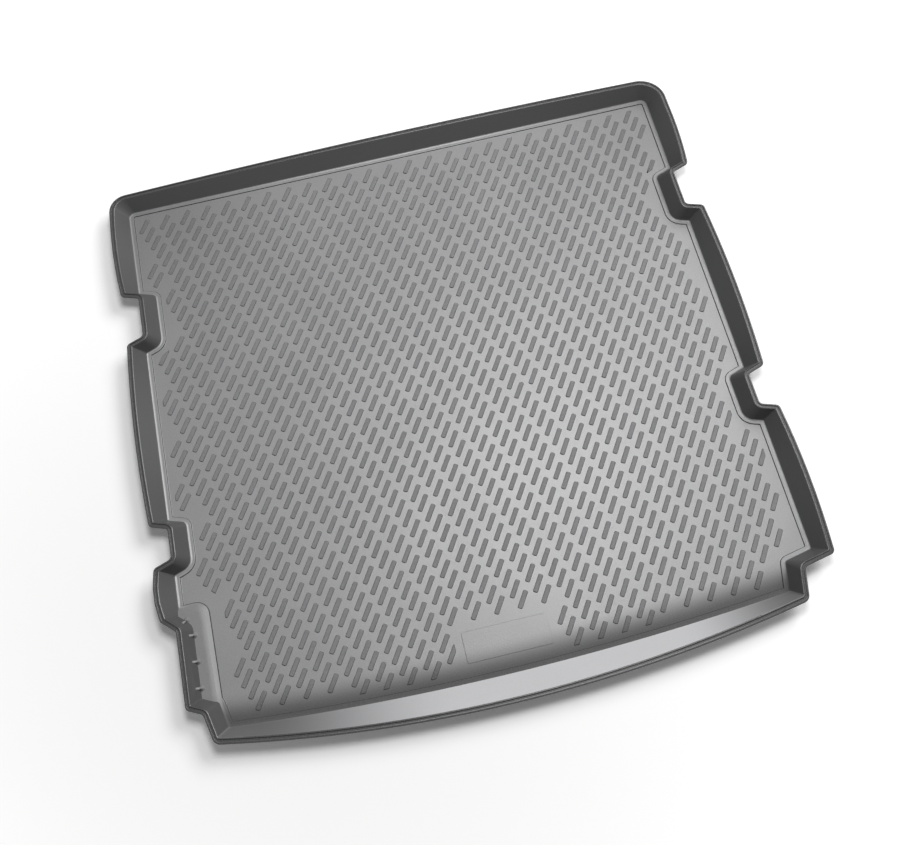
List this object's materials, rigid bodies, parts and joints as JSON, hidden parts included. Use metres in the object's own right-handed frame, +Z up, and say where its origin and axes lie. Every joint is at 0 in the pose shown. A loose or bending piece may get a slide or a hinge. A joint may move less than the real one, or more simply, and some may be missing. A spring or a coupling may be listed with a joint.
{
  "type": "car boot liner",
  "caption": "Shallow moulded tray for a car boot floor, with a slanted-bar tread, a sloped notched wall and a grooved lip all round.",
  "frame": {"origin": "middle of the tray's outline, on the flat underside", "axes": "+Z up out of the tray, +Y towards the straight back edge behind the seats, +X to the right seen from the tailgate"},
  "size_m": [1.1066, 1.1084, 0.0305],
  "materials": {
    "liner": "satin floor between matt grained bars"
  },
  "bodies": {
    "root": {"boot_liner": "liner"}
  },
  "joints": []
}
